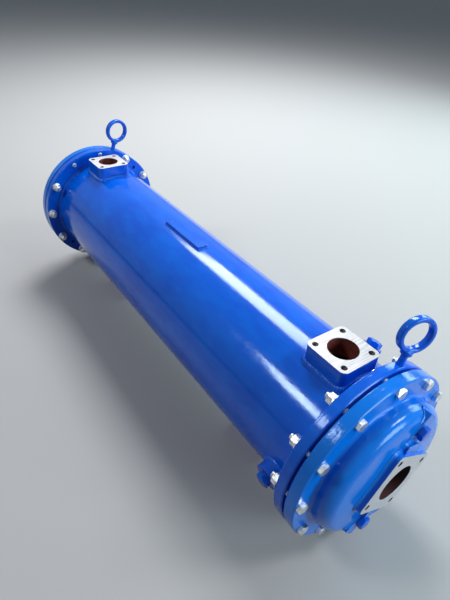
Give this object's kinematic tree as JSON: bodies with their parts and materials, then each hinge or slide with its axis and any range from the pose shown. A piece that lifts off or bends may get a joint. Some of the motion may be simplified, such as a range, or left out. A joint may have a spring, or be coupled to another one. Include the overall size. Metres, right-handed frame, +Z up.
{
  "type": "shell and tube heat exchanger",
  "caption": "Horizontal shell and tube heat exchanger with square-flanged nozzles on top, a cast bonnet with an axial port on each end, lifting eyes and feet.",
  "frame": {"origin": "on the floor below the middle of the shell's axis", "axes": "+X along the shell towards the near end, +Z up through the nozzles, +Y across the shell, away from the drain boss"},
  "size_m": [1.256, 0.345, 0.442],
  "materials": {
    "shell_paint": "glossy enamel over welded steel, machined nozzle faces bare",
    "fitting_paint": "glossy enamel over forged and turned steel",
    "bonnet_paint": "glossy enamel over a casting, machined port face bare, primer inside",
    "gasket_fibre": "matt fibre sheet",
    "tube_sheet_metal": "rolled naval brass",
    "tube_metal": "drawn brass tube",
    "inner_steel": "plain rolled steel"
  },
  "bodies": {
    "root": {"shell_tube": "shell_paint", "shell_flange_near": "shell_paint", "shell_flange_far": "shell_paint", "nozzle_near": "shell_paint", "nozzle_far": "shell_paint", "vent_boss": "shell_paint", "drain_boss": "shell_paint", "name_plate_bar": "shell_paint", "foot_pad_near": "shell_paint", "foot_pad_far": "shell_paint", "foot_web_near": "shell_paint", "foot_web_far": "shell_paint", "foot_base_near": "shell_paint", "foot_base_far": "shell_paint", "vent_plug": "fitting_paint", "drain_plug": "fitting_paint", "lifting_eye_near": "fitting_paint", "lifting_eye_far": "fitting_paint", "bonnet_vent_plug_near": "fitting_paint", "bonnet_vent_plug_far": "fitting_paint", "bonnet_drain_plug_near": "fitting_paint", "bonnet_drain_plug_far": "fitting_paint", "bonnet_near": "bonnet_paint", "bonnet_far": "bonnet_paint", "gasket_shell_near": "gasket_fibre", "gasket_shell_far": "gasket_fibre", "gasket_bonnet_near": "gasket_fibre", "gasket_bonnet_far": "gasket_fibre", "tube_sheet_near": "tube_sheet_metal", "tube_sheet_far": "tube_sheet_metal", "tubes": "tube_metal", "baffles": "inner_steel", "tie_rods": "inner_steel"}
  },
  "joints": []
}
